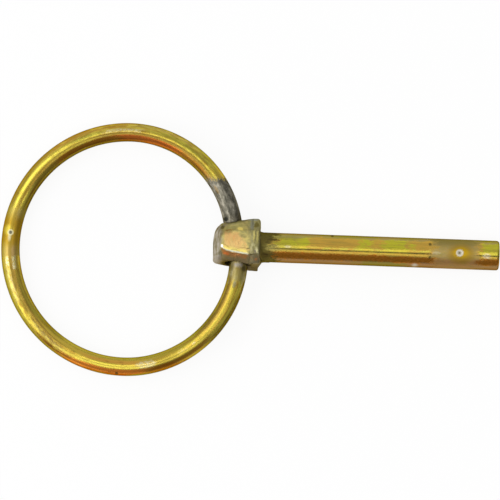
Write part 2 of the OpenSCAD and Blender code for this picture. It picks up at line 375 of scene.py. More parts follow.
# A place on the wire is given by its turn, in degrees round the ring's middle, and by how far out
# it is from the wire's own middle, in millimetres and seen from above.
ring = {
    "wireRadius": 1.985,
    "middle": (-23.32, -1.55),
    "reach": 25.06,
    "arcs": (  # centre u, centre v, radius, from angle, to angle
        (-23.32, 0.676039, 22.834, 4.707, 90),
        (-23.32, -1.55, 25.06, 90, 270),
        (-23.32, -2.60102, 24.009, 270, 362.27),
    ),
    "step": 0.17,
    "sides": 48,
    "wobble": {"height": 0.01, "along": 0.22, "around": 1.6},
    "endBevel": 0.25,
    "dent": {"turn": 173.6, "out": 0.05, "radius": 0.5, "depth": 0.09, "rim": 0.02, "crest": 1.2},
    "dentAbove": 0.8,
    "colors": {
        "gold": (200, 174, 68),
        "olive": (172, 156, 56),
        "green": (162, 156, 60),
        "tan": (200, 150, 64),
        "orange": (222, 122, 50),
        "brown": (166, 100, 24),
        "pale": (212, 204, 162),
        "matteTan": (178, 156, 88),
        "halo": (176, 138, 32),
        "blush": (184, 154, 98),
        "rust": (255, 152, 58),
        "ember": (192, 92, 28),
        "drab": (150, 128, 46),
        "bronze": (152, 114, 42),
        "shadow": (66, 50, 14),
        "lemon": (230, 212, 84),
        "steel": (122, 118, 104),
        "steelDark": (84, 82, 72),
        "steelPale": (178, 172, 156),
        "lilac": (142, 138, 138),
        "umber": (128, 100, 44),
        "oliveGrey": (132, 122, 76),
        "grime": (76, 66, 40),
        "shadowBlack": (44, 46, 40),
    },
    "rim": (0.42, 0.36, 0.2),
    "noises": {  # scale, detail, roughness, stretch, shift, warp
        "streaks": (2.2, 3, 0.6, (0.05, 1, 1)),
        "clouds": (0.6, 3, 0.55, (0.16, 1, 1), (40, 0, 0)),
        "blots": (1.1, 4, 0.65, (0.4, 1, 1), (0, 7, 3)),
        "specks": (4, 3, 0.6, (0.8, 1, 1), (9, 0, 5)),
        "mottles": (1.9, 3, 0.5, (0.3, 1, 1), (3, 1, 8)),
        "fine": (7, 3, 0.6, (0.12, 1, 1)),
        "tiny": (9, 2, 0.6),
    },
    "degree": 0.4374,  # millimetres along the wire in one degree
    "upperSide": (-0.9, 0.2),  # marks are whole above this and gone below it
    "greenOuter": (44, 118, 5),  # from turn, to turn, softness
    "greenInner": (196, 236, 6),
    "greenMiddle": (108, 176, 8),
    "rubbed": (188, 250, 8),
    "patchy": (42, 135, 6),
    "stainSoft": (6, 0.16),
    # Besides stains of the plating, this table paints light: shadow rows are painted shade on the
    # wire's rims, umber, drab and bronze rows mostly painted shade and dark reflection lines, and
    # lemon rows painted highlights.
    "stainsAndPaintedLight": (  # colour, from turn, to turn, from out, to out, strength
        ("drab", 60, 240, -0.6, 0.25, 0.6),
        ("bronze", 108, 176, 1.1, 2.4, 0.5),
        ("umber", 44, 108, -0.7, 0.15, 0.65),
        ("umber", 36, 57, -1.5, -0.4, 0.95),
        ("gold", 60, 100, 0.1, 0.5, 0.4),
        ("tan", 88, 130, 0.9, 2.4, 0.5),
        ("blush", 58, 90, 1.3, 2.4, 0.4),
        ("brown", 222, 246, 0.95, 1.5, 0.8),
        ("umber", 223, 240, -0.9, 1.9, 0.3),
        ("green", 200, 246, 1.6, 2.4, 0.5),
        ("drab", 192, 240, 0.2, 0.75, 0.5),
        ("orange", 60, 98, -1.7, -0.55, 1),
        ("brown", 46, 60, -1.6, -0.7, 0.6),
        ("brown", 96, 132, -1.6, -0.62, 0.85),
        ("umber", 132, 150, -1.4, -0.5, 0.4),
        ("lemon", 149, 162, -1.05, -0.5, 0.75),
        ("lemon", 130, 164, 0.15, 1.1, 0.4),
        ("bronze", 132, 160, -0.42, -0.12, 0.7),
        ("umber", 136, 151, -0.62, -0.3, 0.6),
        ("shadow", 128, 182, -2.4, -1.62, 0.4),
        ("umber", 183, 197, -0.2, 0.2, 0.5),
        ("umber", 190, 238, -0.9, 0.1, 0.65),
        ("lemon", 178, 226, 0.7, 1.45, 0.45),
        ("lemon", 246, 284, -0.3, 0.6, 0.45),
        ("drab", 284, 299, -0.8, 0.7, 0.35),
        ("lemon", 300, 345, -0.2, 0.25, 0.5),
        ("drab", 314, 346, 0.35, 0.75, 0.6),
        ("rust", 242, 282, 0.6, 1.55, 1),
        ("ember", 240, 280, 1.5, 1.78, 1),
        ("green", 246, 318, 1.78, 2.4, 0.6),
        ("brown", 281, 300, 0.75, 1.9, 0.9),
        ("brown", 300, 313, 0.8, 1.5, 0.6),
        ("tan", 250, 278, -1.35, -0.6, 0.9),
        ("green", 236, 330, -2.4, -1.35, 0.5),
        ("umber", 314, 356, -1.5, -0.5, 0.75),
        ("shadow", 84, 172, -2.4, -1.3, 0.6),
        ("shadow", 42, 84, -2.4, -1.5, 0.5),
        ("shadow", 190, 236, -2.4, -1.3, 0.3),
        ("shadow", 314, 356, -2.4, -1.3, 0.3),
        ("shadow", 314, 356, 1.4, 2.4, 0.75),
        ("lemon", 318, 350, 0.78, 1.3, 1),
    ),
    "flecksAndGlare": (  # from turn, to turn, softness, from out, to out, softness, strength
        (84, 102, 2, 0.15, 0.75, 0.15, 1),
        (277.5, 286, 1.5, -0.9, 0.5, 0.2, 1),
        (220, 240, 4, -0.1, 0.8, 0.2, 0.2),
        (299, 303, 1, -0.5, 0, 0.2, 0.4),
        (188, 206, 4, 0.2, 1.2, 0.2, 0.5),
    ),
    # painted glare: the two bright lines of the highlight at turns 185 to 192
    "crispGlare": (
        (185, 190, 0.5, 0.35, 1, 0.15, 1.2),
        (185, 192, 0.5, -1.2, -0.4, 0.15, 1.2),
    ),
    "matteStart": (158.5, 163),
    "matteStop": (184.7, 185.7),
    "glow": (165.5, 180, 3),
    "bright": ((172.6, 0.5), 1, 0.5),  # turn and out, radius, softness
    "contact": (  # colour, turn and out, millimetres for a degree, radius, softness, strength
        ("pale", (173.6, 0.05), 0.4374, 0.64, 0.16, 0.9),
        ("pale", (176, 0.15), 0.2, 0.3, 0.25, 0.7),
        ("steelDark", (173.6, 0.05), 0.4374, 0.36, 0.14, 0.9),
    ),
    "bareEnd": {"turn": 40.2, "slant": 1.35, "soft": 0.9, "thin": 4},
    "lowerEnd": (341.5, 349),
    "entry": ((353.5, 355.4, 0.7), (-0.8, 1, 0.3)),  # where the lower end goes in: by turn, by out
    "nearHead": ((349, 353), (16, 22)),  # darker near the head: at the lower end, at the upper
    "daubs": (  # colour, turn and out, half length and width, strength
        # The first two daubs are painted shadow: beside the lower end where it goes in, and where
        # the upper end meets the head.
        ("grime", (352.7, 1.4), (0.6, 0.6), 0.8),
        ("shadowBlack", (18.75, -1.17), (0.6, 0.6), 0.95),
        ("grime", (267.4, 1.45), (0.35, 0.3), 0.8),
        ("umber", (35.5, -0.9), (1.2, 0.35), 0.6),
        ("steel", (344.2, 0), (0.8, 0.4), 0.6),
        ("oliveGrey", (349, 0.3), (1.3, 1.6), 0.5),
        ("pale", (308, -0.2), (0.5, 0.25), 0.4),
    ),
    "bump": 0.3,
    "bumpDepth": 0.00005,
}


def wirePath(spec):  # along, middle u, middle v, outward u, outward v, turn about the ring's middle
    rows = []
    along = 0
    for centreU, centreV, radius, start, stop in spec["arcs"]:
        length = radius * math.radians(stop - start)
        count = round(length / spec["step"])
        for k in range(1 if rows else 0, count + 1):
            a = math.radians(start + (stop - start) * k / count)
            u = centreU + radius * math.cos(a)
            v = centreV + radius * math.sin(a)
            turn = math.degrees(math.atan2(v - spec["middle"][1], u - spec["middle"][0])) % 360
            if turn < 60 and start > 200:  # the last arc ends past a full turn
                turn += 360
            rows.append((along + length * k / count, u, v, math.cos(a), math.sin(a), turn))
        along += length
    return rows


def wireDent(turn, out, spec, reach):  # how far the dint at the contact mark moves the upper side
    arc = math.radians(turn - spec["turn"]) * reach
    away = math.hypot(arc, out - spec["out"]) / spec["radius"]
    return dint(away, spec["depth"], spec["rim"], spec["crest"])


def makeRing(spec):
    path = wirePath(spec)
    wire, sides, wobble = spec["wireRadius"], spec["sides"], spec["wobble"]
    total = path[-1][0]
    points, where, flow = [], [], []
    for along, u, v, outU, outV, turn in path:
        bevel = max(0, spec["endBevel"] - min(along, total - along))
        for k in range(sides):
            b = 2 * math.pi * k / sides
            out, up = math.cos(b), math.sin(b)
            seat = Vector((along * wobble["along"], out * wobble["around"], up * wobble["around"]))
            radius = wire - bevel + wobble["height"] * noise.noise(seat)
            if up > spec["dentAbove"]:
                radius += wireDent(turn, out * wire, spec["dent"], spec["reach"])
            points.append((u + outU * out * radius, v + outV * out * radius, up * radius))
            where.append((turn, out * wire, up * wire))
            flow.append((along, out * wire, up * wire))
    faces = []
    for row in range(len(path) - 1):
        a, b = row * sides, (row + 1) * sides
        for k in range(sides):
            n = (k + 1) % sides
            faces.append((a + k, b + k, b + n, a + n))
    faces.append(tuple(range(sides)))
    faces.append(tuple(reversed(range(len(points) - sides, len(points)))))
    mesh = bpy.data.meshes.new("ringWire")
    mesh.from_pydata(points, [], faces)
    vectorLayer(mesh, "wire", where)
    vectorLayer(mesh, "flow", flow)
    mesh.transform(ringMatrix())
    mesh.shade_smooth()
    return newObject("ringWire", mesh)


def patches(turn, out, rows):  # the sum of soft-edged patches
    return sum(turn.band(*row[:3]) * out.band(*row[3:6]) * row[6] for row in rows)


def paintRing(spec):
    paint = Paint(bpy.data.materials.new("platedWire"), spec["colors"])
    turn, out, up = paint.split(paint.layer("wire"))
    flow = paint.layer("flow")
    noises = [paint.grain(flow, *row) for row in spec["noises"].values()]
    streaks, clouds, blots, specks, mottles, fine, tiny = noises
    front = up.rise(*spec["upperSide"])
    arc = turn * spec["degree"]
    turned = turn.shake((blots, 14))
    outward = out.shake((clouds, 1), (specks, 0.25))

    # The plating, which is greener in three zones.
    greenish = turned.band(*spec["greenOuter"]) * outward.rise(-0.1, 0.6)
    greenish = greenish + turned.band(*spec["greenInner"]) * outward.fall(-0.6, 0.1) * 0.5
    middle = turned.band(*spec["greenMiddle"]) * outward.band(-0.2, 0.9, 0.3)
    color = paint.coats(
        paint.mix(clouds.rise(0.38, 0.62), "gold", "olive"),
        (streaks.rise(0.5, 0.7), "tan", 0.7),
        (greenish * clouds.rise(0.3, 0.6), "green", 0.8),
        (middle, "green", 0.6),
        (streaks.fall(0.3, 0.44), "brown", 0.6),
    )
    # Stains of the plating, laid together with painted shade, painted dark reflection lines and
    # painted highlights.
    turnSoft, outSoft = spec["stainSoft"]
    for name, start, stop, low, high, strength in spec["stainsAndPaintedLight"]:
        stainAndLightBand = turned.band(start, stop, turnSoft) * outward.band(low, high, outSoft) * front
        color = paint.mix(stainAndLightBand * strength, color, name)

    # Mottling, rubbed places, pale flecks, and glare painted pale on the highlight near turns 185
    # to 206.
    rub = turned.band(*spec["rubbed"]) * out.band(-0.2, 1.4, 0.3) * front
    patchy = turned.band(*spec["patchy"]) * outward.rise(-0.3, 0.3) * front
    flecksAndGlare = patches(turned, outward, spec["flecksAndGlare"]) + patches(turn, out, spec["crispGlare"])
    color = paint.coats(
        color,
        (specks.rise(0.5, 0.68) * blots.rise(0.42, 0.6), "matteTan", 0.45),
        (blots.fall(0.3, 0.44), "umber", 0.45),
        (rub * mottles.rise(0.5, 0.62), "lemon", 0.4),
        (rub * mottles.fall(0.36, 0.48), "umber", 0.45),
        (patchy * mottles.rise(0.5, 0.62), "lemon", 0.35),
        (patchy * mottles.fall(0.36, 0.48), "bronze", 0.35),
        (flecksAndGlare * specks.rise(0.36, 0.58) * front, "pale", 0.65),
    )

    # The matte zone round the contact mark, and the mark itself.
    matte = turn.shake((specks, 12), (streaks, 8)).rise(*spec["matteStart"])
    matte = matte * turn.shake((specks, 3)).fall(*spec["matteStop"]) * front
    glow = turn.shake((specks, 6)).band(*spec["glow"])
    centre, radius, soft = spec["bright"]
    bright = paint.spot(arc, out, (centre[0] * spec["degree"], centre[1]), radius, soft)
    mild = paint.mix(turn.rise(178, 182), "matteTan", "blush")
    # In the matte zone the lemon strip and the bright spot are painted highlights; the olive at the
    # sides, the shadow on the inner side and the drab along the middle are painted shade.
    mild = paint.coats(
        paint.mix(out.band(-1.2, 1.1, 0.5) * 0.6 + 0.4, "olive", mild),
        (glow, "halo", 0.9),
        (out.band(0.3, 1.4, 0.25) * (0.3 - glow * 0.25), "lemon", 1),
        (bright, "lemon", 0.7),
        (out.fall(-1.8, -0.7), "shadow", 0.4),
        (out.band(-0.4, 0.3, 0.15), "drab", 0.7),
    )
    color = paint.mix(matte * 0.9, color, mild)
    for name, centre, degree, radius, soft, strength in spec["contact"]:
        mark = paint.spot(turn * degree, out, (centre[0] * degree, centre[1]), radius, soft) * front
        color = paint.mix(mark * strength, color, name)

    # The bare steel of the upper end, and the grey of both ends.
    end = spec["bareEnd"]
    slanted = (turn + out * end["slant"]).shake((specks, 9), (blots, 8))
    bare = slanted.fall(end["turn"] - end["soft"], end["turn"] + end["soft"])
    thin = slanted.fall(end["turn"], end["turn"] + end["thin"])
    shade = blots - out * 0.05
    steel = paint.coats(
        paint.mix(shade.rise(0.36, 0.56), "steelDark", "steel"),
        (shade.rise(0.52, 0.7), "steelPale", 0.9),
        (specks.rise(0.55, 0.7), "steelPale", 0.4),
    )
    lower = turned.rise(*spec["lowerEnd"])
    mixed = paint.mix(blots.rise(0.45, 0.7) * 0.7, "oliveGrey", "pale")
    # Where the lower end goes in, a pale lilac patch, partly a bare zone and partly a painted
    # highlight.
    entryTurn, entryOut = spec["entry"]
    entry = turn.shake((specks, 3)).band(*entryTurn)
    entry = entry * out.shake((specks, 1)).band(*entryOut) * front
    nearLower, nearUpper = spec["nearHead"]
    nearHead = turn.rise(*nearLower).upTo(turn.shake((blots, 8)).fall(*nearUpper))
    color = paint.coats(
        color,
        (thin * (0.2 + out.fall(-1.4, -0.4) * 0.4), "steel", 1),
        (bare, steel, 1),
        (lower, mixed, 0.65),
        (nearHead, "grime", 0.45),
        (entry, "lilac", 0.6),
        (specks.fall(0.26, 0.33), "grime", 0.6),
    )
    for name, centre, half, strength in spec["daubs"]:
        daub = paint.daub(arc, out, (centre[0] * spec["degree"], centre[1]), half) * front
        color = paint.mix(daub * strength, color, name)

    dull = matte.upTo(bare).upTo(lower * 0.5)
    rough = 0.16 + streaks * 0.12 + dull * 0.24 + rub * 0.07 + tiny * 0.06
    height = fine * 0.6 + tiny * 0.5 + (dull + rub * 0.5) * blots * 1.5
    return paint.metal(spec, color, rough, height)


ringWire = makeRing(ring)
ringWire.data.materials.append(paintRing(ring))
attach(ringWire, "ring")
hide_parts("ring")
print("ring made")

# For the shapes, a pair such as upperV is where a change along v begins and its run, below 0 where
# it grows towards lower values. For the coats, a pair is from where to where a mask grows or fades.
pin = {
    "weld": 0.0005,
    "voxel": 0.13,
    "cut": 7,
    "smoothing": 12,
    "softening": {
        "upperV": (0.8, 1),
        "upperW": (1, 1),
        "endU": (-2.6, -1),
        "endShare": 0.5,
        "alongU": (2.9, -0.6),
        "least": 0.12,
        "socketU": -0.4,
        "socketAway": (3, 0.8),
        "socketV": (2.5, -1),
        "rounds": 40,
    },
    "flat": {"low": 4.15, "rise": 0.65, "from": -5, "length": 8},
    "collarBlend": {
        "alongU": (-1, 4.5),
        "lift": 0.36,
        "upperV": (3.6, -1.2),
        "lowerV": (-2.6, 1.2),
        "stopV": -1.6,
        "aboveW": 3.8,
    },
    "mouth": {
        "at": 0.39,
        "away": (4.1, -1),
        "lowerV": (-2, -1.2),
        "lowerU": (-1.2, 1.4),
        "least": 0.1,
        "move": 0.35,
        "upperV": (3, 0.8),
        "upperW": (1.2, 0.6),
        "lip": ((-3.4, -2.7, -1.7, -0.7, 0.2, 0.9, 1.4), (0, 0.32, 0.52, 0.6, 0.5, 0.28, 0)),
    },
    "facet": {
        "edge": (-1.156, -0.137, 0.93, -3.37, 0.5),  # v at u 0, slope, end hook, its u, its length
        "width": 0.42,
        "reach": 1.1,
        "lay": 2.5,
        "lean": 11,
        "bevel": 40,
        "from": -3.2,
        "to": 2.7,
        "endRun": 0.5,
        "endFall": 0.5,
        "aboveW": 2.5,
    },
    "corners": (  # from u, over how far, distances below the middle, moves towards the tip
        (2.6, 0.8, (4, 5.05), (0, 0.95)),
        (4.2, 0.4, (2, 3, 3.6, 4.05, 4.4), (0, 0.4, 0.45, 0.2, 0)),
    ),
    "cornersW": (-4.9, 0.6),
    "trim": {  # moves of the end's face by v, and of the lower edges by u
        "end": ((-3.3, -2.5, -0.8, 0.2, 0.9, 2.6, 4.4), (0.02, 0.2, 0.12, 0.05, 0.07, 0.25, 0.33)),
        "endU": (-3, -1.2),
        "under": ((-5, -2, 2, 3, 4.6), (0.14, 0.14, 0.14, 0.2, 0.1)),
        "underV": (-1.5, -1.5),
    },
    "groove": {
        "middle": (0.85, 3.45),
        "radius": 1.6,
        "depth": 0.045,
        "width": 0.35,
        "alongU": (1.2, 0.5),
        "aboveW": 3,
    },
    "headSkin": ((0.07, 2.6, 3.1, 1), (0.03, 0.7, 9.4, 1)),  # height, size, seed, stretch along u
    "nick": ((3.78, -0.75), 0.7, 0.08, 0.01),
    "shankRadius": 3.175,
    "shankFrom": 3.4,
    "tip": 56.2404,
    "tipEdge": 0.55,
    "tipRings": 0.012,
    "tipDimple": (0.05, 0.5),
    "root": {"start": 4.95, "length": 1, "height": 0.48},
    "sides": 128,
    "step": 0.2,
    "rootSteps": 8,
    "edgeSteps": 6,
    "tipSteps": 40,
    "shankSkin": ((0.01, 0.9, 5, 0.12), (0.008, 3, 7.7, 1)),
    "dents": (
        ((47.65, 0.3), 0.55, 0.1, 0.02),
        ((41.3, 1.9), 0.3, 0.05),
        ((41.3, -0.9), 0.25, 0.05),
    ),
    "colors": {
        "gold": (180, 156, 68),
        "lemon": (168, 157, 63),
        "amber": (172, 138, 58),
        "green": (188, 186, 52),
        "tan": (192, 146, 68),
        "patch": (200, 160, 68),
        "olive": (132, 120, 62),
        "brown": (176, 114, 32),
        "orange": (202, 130, 50),
        "pink": (152, 114, 78),
        "mossy": (148, 142, 72),
        "ash": (160, 142, 96),
        "matteTan": (170, 150, 96),
        "matteLow": (176, 136, 88),
        "brass": (164, 130, 38),
        "halo": (192, 156, 30),
        "pale": (214, 210, 196),
        "grime": (74, 66, 36),
        "peat": (88, 76, 62),
        "rootOlive": (106, 97, 48),
        "rootPale": (142, 132, 74),
        "flat": (204, 164, 104),
        "flatPale": (212, 178, 114),
        "flatYellow": (184, 168, 98),
        "arc": (142, 132, 84),
        "skin": (146, 136, 108),
        "moss": (152, 145, 92),
        "endSkin": (204, 196, 184),
        "redBrown": (204, 136, 80),
        "bright": (246, 248, 234),
        "straw": (196, 180, 98),
        "strip": (236, 214, 116),
        "pear": (204, 200, 136),
        "rustLow": (172, 126, 76),
        "umber": (140, 100, 50),
        "collar": (128, 122, 84),
        "dun": (148, 128, 92),
        "redHot": (232, 130, 64),
        "nickPale": (192, 186, 142),
        "nickDeep": (112, 104, 92),
        "blue": (142, 146, 136),
    },
    "rim": (0.42, 0.36, 0.22),
    "noises": {
        "streaks": (1.9, 3, 0.6, (0.05, 1, 1)),
        "clouds": (0.75, 3, 0.6, (0.14, 1, 1), (20, 0, 0)),
        "blots": (1.3, 4, 0.65, (0.45, 1, 1), (0, 5, 2)),
        "specks": (4.2, 3, 0.65, (0.6, 1, 1)),
        "dashes": (1.7, 3, 0.6, (0.3, 1, 1), (2, 4, 6)),
        "fine": (6, 3, 0.6, (0.15, 1, 1)),
        "tiny": (8, 2, 0.6),
        "lumps": (0.55, 4, 0.6, (1, 1, 1), (0, 0, 0), 0.6),
        "grey": (2.2, 3, 0.6, (1, 0.2, 0.4)),
        "patina": (1.4, 4, 0.65, (1, 1, 1), (3, 8, 1)),
    },
    "upperSide": (-0.6, 0.6),
    "strips": {  # along the shank: from v, to v, softness
        "upper": (0.35, 2.7, 0.25),
        "shine": (-0.75, 0.6, 0.2),
        "line": (-0.29, -0.06, 0.11),
        "amber": (-0.85, -0.3, 0.12),
        "under": (-2.25, -0.9, 0.14),
    },
    "upperEdge": (2.3, 2.7),
    "lowerEdge": (-2.4, -2),
    "shadedRoot": (12, 14),
    "greenZones": ((8.5, 15.5, 1), (26, 29, 1.2), (31, 37, 1)),  # from u, to u, softness
    "greenTip": (52, 53),
    "matte": (42.2, 51.3, 1.1),
    "contactAt": (47.65, 0.3),
    "contact": {"mark": 0.76, "pit": 0.4, "dot": 0.12, "halo": 1.2, "aura": 2.05},  # radii
    "rootGrime": (6.1, 7.8),
    "rootPale": (6.6, 8.6, 0.6),
    "darkSpots": (((41.3, 1.9), 0.3), ((41.3, -0.9), 0.28), ((20.4, 3), 0.3)),
    "paleSpot": (38.2, -2.65),
    "glints": (  # middle, half length and width, strength
        ((53.5, -0.2), (0.9, 0.6), 0.4),
        ((10.9, 0.35), (0.8, 0.3), 0.3),
        ((42.7, 0.1), (0.9, 0.35), 0.25),
    ),
    "tipFace": (56.05, 56.2),
    "tipShade": (55.85, 56.15, 0.08),
    "headStop": (4.9, 5.15),  # where the head's coat gives way to the shank's
    # The two blue daubs are a painted reflection on the collar's corner and top, and the dark daub
    # at (2.86, -3.88) is painted shade beside the lower socket's mouth.
    "headDaubs": (  # colour, middle, half length and width, lean, strength
        ("strip", (0.58, 3.72), (0.6, 0.4), 0, 0.8),
        ("pear", (-0.8, 4.62), (1.9, 0.28), 17, 0.15),
        ("moss", (-1.15, 3.98), (1.3, 0.26), 17, 0.6),
        ("umber", (-1.75, 3.38), (0.85, 0.16), 8, 0.7),
        ("grime", (-3.15, 3.95), (0.4, 0.4), 0, 0.7),
        ("arc", (1.31, 2.21), (0.55, 0.4), -10, 0.6),
        ("arc", (2.6, 2.2), (0.35, 1.1), 0, 0.6),
        ("grime", (-3.9, 3.5), (0.5, 0.7), 0, 0.3),
        ("umber", (-2.3, 0.1), (0.8, 0.13), -42, 0.5),
        ("blue", (3.09, 4.6), (0.42, 1), 0, 0.55),
        ("straw", (3.55, 2.3), (0.2, 1.3), 0, 0.5),
        ("grime", (3.88, 2.6), (0.14, 1.5), 0, 0.4),
        ("straw", (4.3, 2.2), (0.2, 1.6), 0, 0.4),
        ("rootOlive", (4.05, 4.7), (0.55, 0.6), 0, 0.85),
        ("blue", (3.4, 5.85), (1.5, 0.25), 3, 0.6),
        ("nickPale", (3.08, -0.2), (0.24, 1), -10, 0.3),
        ("nickPale", (3.45, 0.62), (0.5, 0.3), 0, 0.3),
        ("nickPale", (4.28, -0.8), (0.24, 1), 18, 0.95),
        ("nickDeep", (3.82, -0.9), (0.24, 0.6), 15, 0.85),
        ("redBrown", (4.08, -2.64), (0.3, 0.24), 0, 0.65),
        ("redHot", (-2.2, -1.62), (0.7, 0.26), -12, 0.8),
        ("dun", (0.3, -2.35), (1.1, 0.3), 0, 0.5),
        ("grime", (2.86, -3.88), (0.5, 0.4), 0, 0.8),
        ("grime", (4.75, 0.5), (0.14, 4.5), 0, 0.5),
    ),
    "edgeHighlightEnds": (((-3.2, -0.02), (0.3, 0.36), 0.95), ((2.02, -1.3), (0.34, 0.18), 0.2)),
    "bump": 0.3,
    "bumpDepth": 0.00006,
}


def headMesh(spec):  # the forging's head, from the solid's own faces, with dense even ones
    form = bmesh.new()
    form.from_mesh(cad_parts["pin"].data)
    bmesh.ops.transform(form, matrix=pinMatrix().inverted(), verts=form.verts)
    bmesh.ops.remove_doubles(form, verts=form.verts, dist=spec["weld"])
    whole = form.verts[:] + form.edges[:] + form.faces[:]
    cut = {"plane_co": (spec["cut"], 0, 0), "plane_no": (1, 0, 0), "clear_outer": True}
    bmesh.ops.bisect_plane(form, geom=whole, **cut)
    rims = [e for e in form.edges if e.is_boundary]
    bmesh.ops.holes_fill(form, edges=rims, sides=0)
    mesh = bpy.data.meshes.new("head")
    form.to_mesh(mesh)
    form.free()
    remesh = ("REMESH", {"mode": "VOXEL", "voxel_size": spec["voxel"]})
    smooth = ("SMOOTH", {"iterations": spec["smoothing"]})
    mesh = applied(newObject("head", mesh), remesh, smooth)
    points = blended(readPoints(mesh), spec["collarBlend"], spec["flat"])
    points = faceted(points, spec["facet"], spec["flat"])
    points = mouthMoved(points, spec["mouth"])
    points = cornered(points, spec["corners"], spec["cornersW"])
    writePoints(mesh, trimmed(points, spec["trim"]))
    mesh = softened(mesh, spec["softening"])
    points = readPoints(mesh)
    lift = grooved(points, spec["groove"]) + uneven(points, spec["headSkin"])
    pushPoints(mesh, lift + dented(points, *spec["nick"]))
    return mesh


def flatLevel(u, spec):  # how high the head's front flat lies
    return spec["low"] + spec["rise"] * (u - spec["from"]) / spec["length"]


def blended(points, spec, flat):  # fills the front of the step between the head and the collar
    u, v, w = points.T.copy()
    start, reach = spec["alongU"]
    lift = spec["lift"] * ramp(u, start, reach) ** 2
    fade = ramp(v, *spec["upperV"]) * ramp(v, *spec["lowerV"])
    level = flatLevel(u, flat) + lift * fade
    near = (u > start) & (u < start + reach) & (v < spec["upperV"][0]) & (v > spec["stopV"])
    low = near & (w > spec["aboveW"]) & (level > w)
    w[low] = level[low]
    return np.column_stack((u, v, w))


def wornEdge(u, spec, power):  # v of the worn lower edge of the head's front flat
    base, slope, hook, start, length = spec["edge"]
    return base + slope * u + hook * power((start - u) / length)


def faceted(points, spec, flat):  # lays the flat over to a narrow worn facet and a bevel
    u, v, w = points.T.copy()
    away = v - wornEdge(u, spec, np.exp)
    half = spec["width"] / 2
    lay, lean, bevel = (math.tan(math.radians(spec[k])) for k in ("lay", "lean", "bevel"))
    level = flatLevel(u, flat) - lay * np.clip(spec["reach"] - away, 0, spec["reach"] - half)
    level -= lean * np.clip(half - away, 0, 2 * half) + bevel * np.clip(-half - away, 0, None)
    level -= spec["endFall"] * np.clip(spec["from"] - u, 0, None)
    inside = (u > spec["from"] - spec["endRun"]) & (u < spec["to"])
    inside = inside & (w > spec["aboveW"]) & (away < spec["reach"])
    cut = inside & ((away > -half) | (level > w))
    w[cut] = level[cut]
    return np.column_stack((u, v, w))


def mouthMoved(points, spec):  # moves one socket's mouth to the collar, lifts the other's lip
    u, v, w = points.T.copy()
    near = ramp(np.hypot(u + spec["at"] * np.sign(v), w), *spec["away"])
    below = near * ramp(v, *spec["lowerV"]) * np.maximum(ramp(u, *spec["lowerU"]), spec["least"])
    above = near * ramp(v, *spec["upperV"]) * ramp(w, *spec["upperW"])
    return np.column_stack((u + spec["move"] * below, v + np.interp(u, *spec["lip"]) * above, w))


def cornered(points, moves, alongW):  # squares the collar's lower corner and the face above it
    u, v, w = points.T.copy()
    for fromU, wide, across, by in moves:
        u += np.interp(-v, across, by) * ramp(u, fromU, wide) * ramp(w, *alongW)
    return np.column_stack((u, v, w))


def trimmed(points, spec):  # small moves of the end's face and of the lower edges
    u, v, w = points.T.copy()
    inward = np.interp(v, *spec["end"]) * ramp(u, *spec["endU"])
    down = np.interp(u, *spec["under"]) * ramp(v, *spec["underV"])
    return np.column_stack((u + inward, v - down, w))


def softened(mesh, spec):  # rounds the forging's upper and end edges more than its lower ones
    obj = newObject("softened", mesh)
    group = obj.vertex_groups.new(name="soft")
    u, v, w = readPoints(mesh).T
    upper = ramp(v, *spec["upperV"]) * ramp(w, *spec["upperW"])
    end = ramp(u, *spec["endU"]) * spec["endShare"]
    weights = np.maximum(upper, end) * ramp(u, *spec["alongU"])
    away = np.hypot(u - spec["socketU"], w)
    outside = ramp(away, *spec["socketAway"]) + ramp(v, *spec["socketV"])
    weights = np.maximum(weights, spec["least"]) * np.clip(outside, 0, 1)
    for k in np.flatnonzero(weights > 0):
        group.add([int(k)], float(weights[k]), "REPLACE")
    return applied(obj, ("SMOOTH", {"iterations": spec["rounds"], "vertex_group": "soft"}))


def grooved(points, spec):  # a shallow curved groove where the flat runs out towards the collar
    u, v, w = points.T
    away = np.hypot(u - spec["middle"][0], v - spec["middle"][1]) - spec["radius"]
    part = ramp(u, *spec["alongU"]) * (w > spec["aboveW"])
    return -spec["depth"] * part * np.exp(-(away / spec["width"]) ** 2)


def shankProfile(spec):  # u and radius, from inside the head over the root's hollow to the tip
    radius, edge, tip = (spec[k] for k in ("shankRadius", "tipEdge", "tip"))
    start, length, height = (spec["root"][k] for k in ("start", "length", "height"))
    rows = [(spec["shankFrom"], 0), (spec["shankFrom"], radius + height)]
    for k in range(spec["rootSteps"] + 1):
        a = math.radians(90 * k / spec["rootSteps"])
        rows.append((start + length * (1 - math.cos(a)), radius + height * (1 - math.sin(a))))
    straight = tip - edge - start - length
    count = round(straight / spec["step"])
    for k in range(1, count):
        rows.append((start + length + straight * k / count, radius))
    for k in range(spec["edgeSteps"] + 1):
        a = math.radians(90 * k / spec["edgeSteps"])
        rows.append((tip - edge * (1 - math.sin(a)), radius - edge * (1 - math.cos(a))))
    depth, wide = spec["tipDimple"]
    for k in range(1, spec["tipSteps"]):
        across = (radius - edge) * (1 - k / spec["tipSteps"])
        rows.append((tip - spec["tipRings"] * (k % 3) - depth * max(0, 1 - across / wide), across))
    return rows + [(tip, 0)]


def shankMesh(spec):
    mesh = lathe(shankProfile(spec), spec["sides"])
    points = readPoints(mesh)
    lift = uneven(points, spec["shankSkin"])
    for mark in spec["dents"]:
        lift += dented(points, *mark)
    pushPoints(mesh, lift)
    return mesh


def makePin(spec):
    head = newObject("head", headMesh(spec))
    shank = newObject("shank", shankMesh(spec))
    join = ("BOOLEAN", {"operation": "UNION", "solver": "MANIFOLD", "object": shank})
    mesh = applied(head, join)
    bpy.data.objects.remove(shank)
    mesh.name = "pinForging"
    mesh.materials.clear()
    vectorLayer(mesh, "place", readPoints(mesh))
    mesh.transform(pinMatrix())
    mesh.shade_smooth()
    return newObject("pinForging", mesh)


